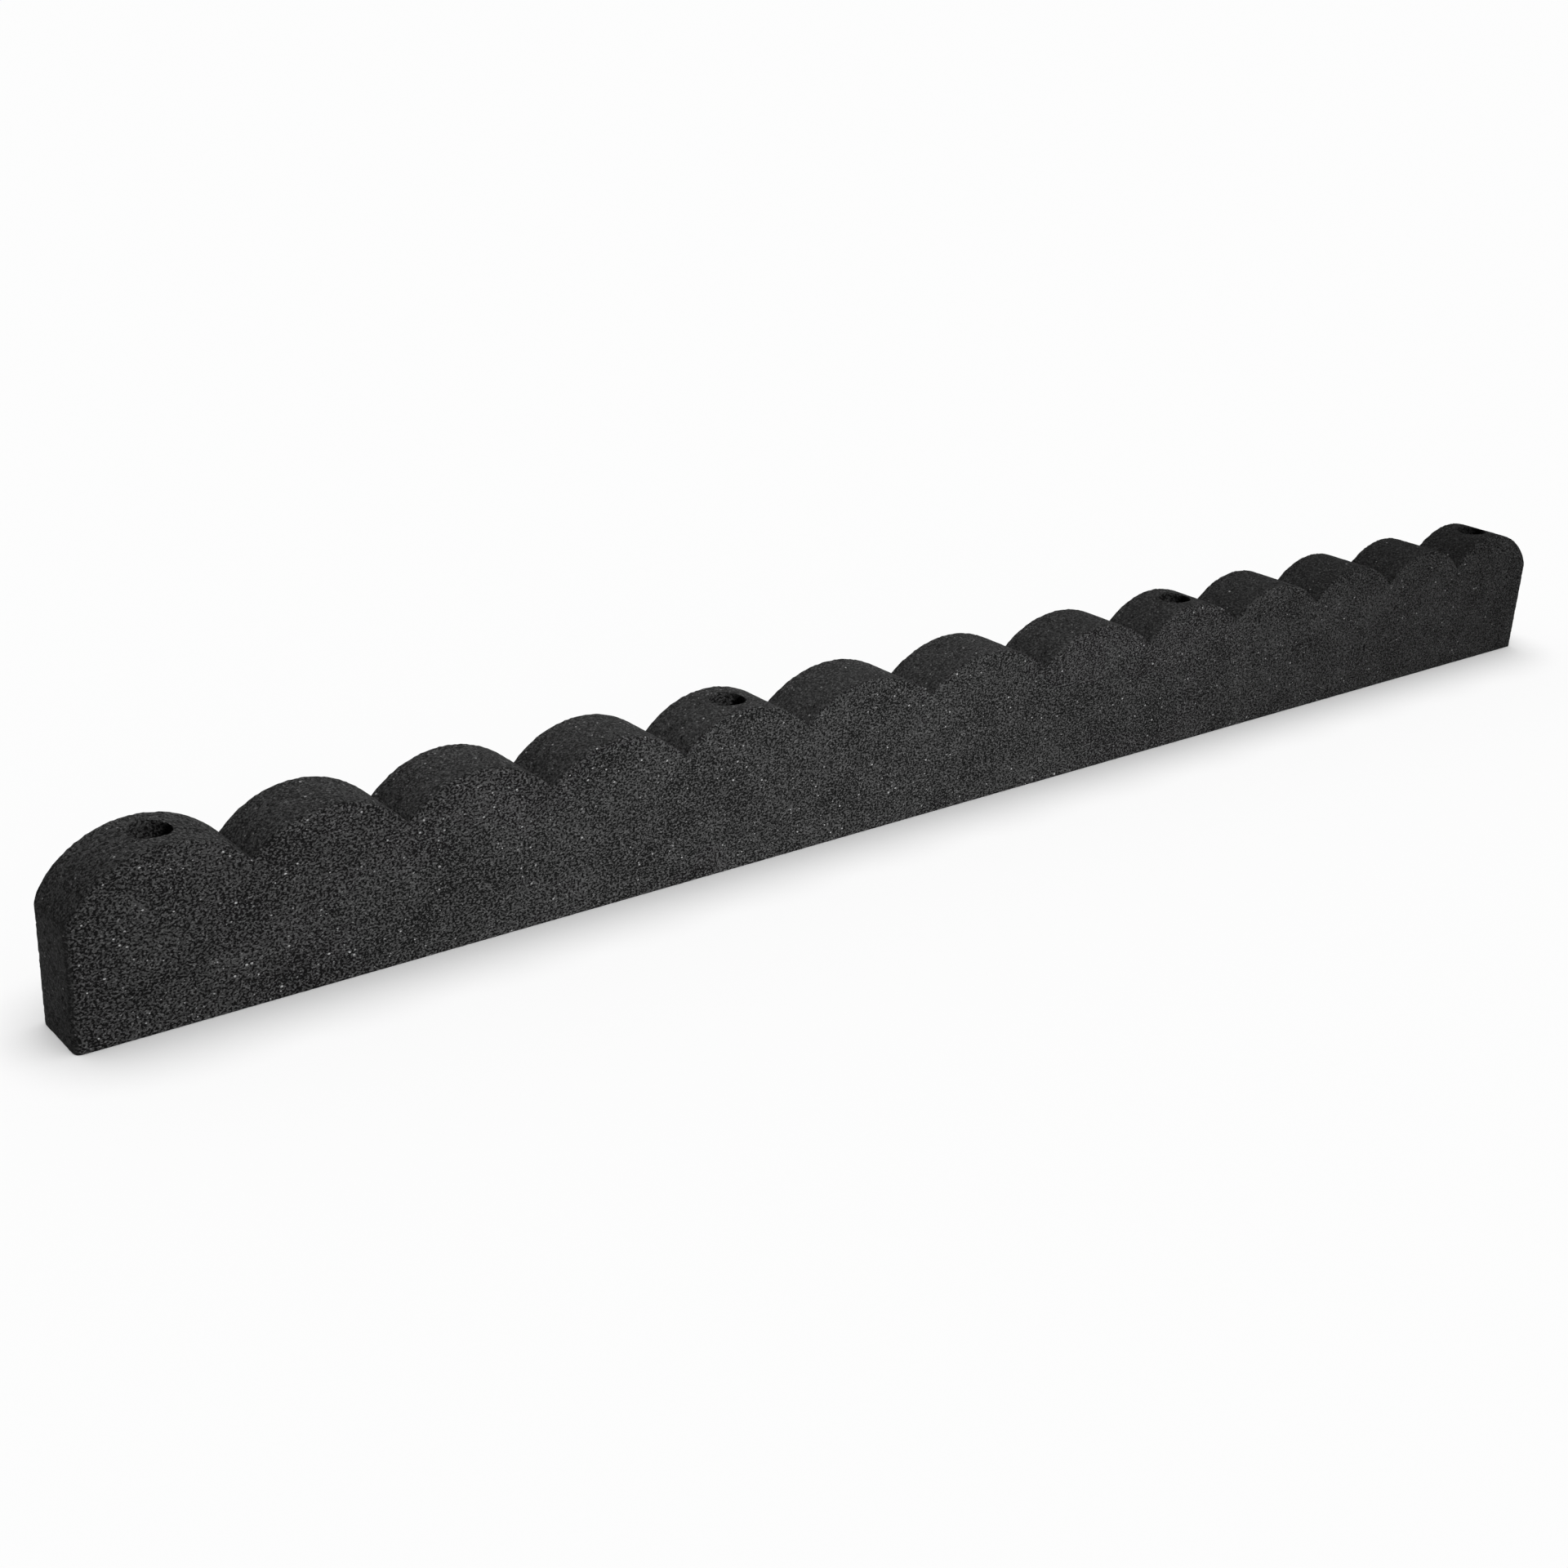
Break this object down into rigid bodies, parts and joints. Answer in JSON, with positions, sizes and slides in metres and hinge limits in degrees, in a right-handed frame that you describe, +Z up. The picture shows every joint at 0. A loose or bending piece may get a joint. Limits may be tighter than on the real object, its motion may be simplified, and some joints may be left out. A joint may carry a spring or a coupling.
{
  "type": "scalloped rubber edging",
  "caption": "Straight bar of bonded rubber crumb with a row of low arches along its top and recessed, sleeved bores for ground spikes or anchors.",
  "frame": {"origin": "centre of the base", "axes": "+X along the bar, +Y out of one long face, +Z up"},
  "size_m": [1.2, 0.042, 0.1],
  "materials": {
    "bonded_rubber": "matt charcoal rubber crumb, fine pits, sparse pale flecks",
    "washer_steel": "dull zinc-plated steel",
    "sleeve_plastic": "black extruded plastic tube"
  },
  "bodies": {
    "root": {"rubber_bar": "bonded_rubber", "bearing_washer_1": "washer_steel", "bearing_washer_2": "washer_steel", "bearing_washer_3": "washer_steel", "bearing_washer_4": "washer_steel", "fixing_sleeve_1": "sleeve_plastic", "fixing_sleeve_2": "sleeve_plastic", "fixing_sleeve_3": "sleeve_plastic", "fixing_sleeve_4": "sleeve_plastic"}
  },
  "joints": []
}
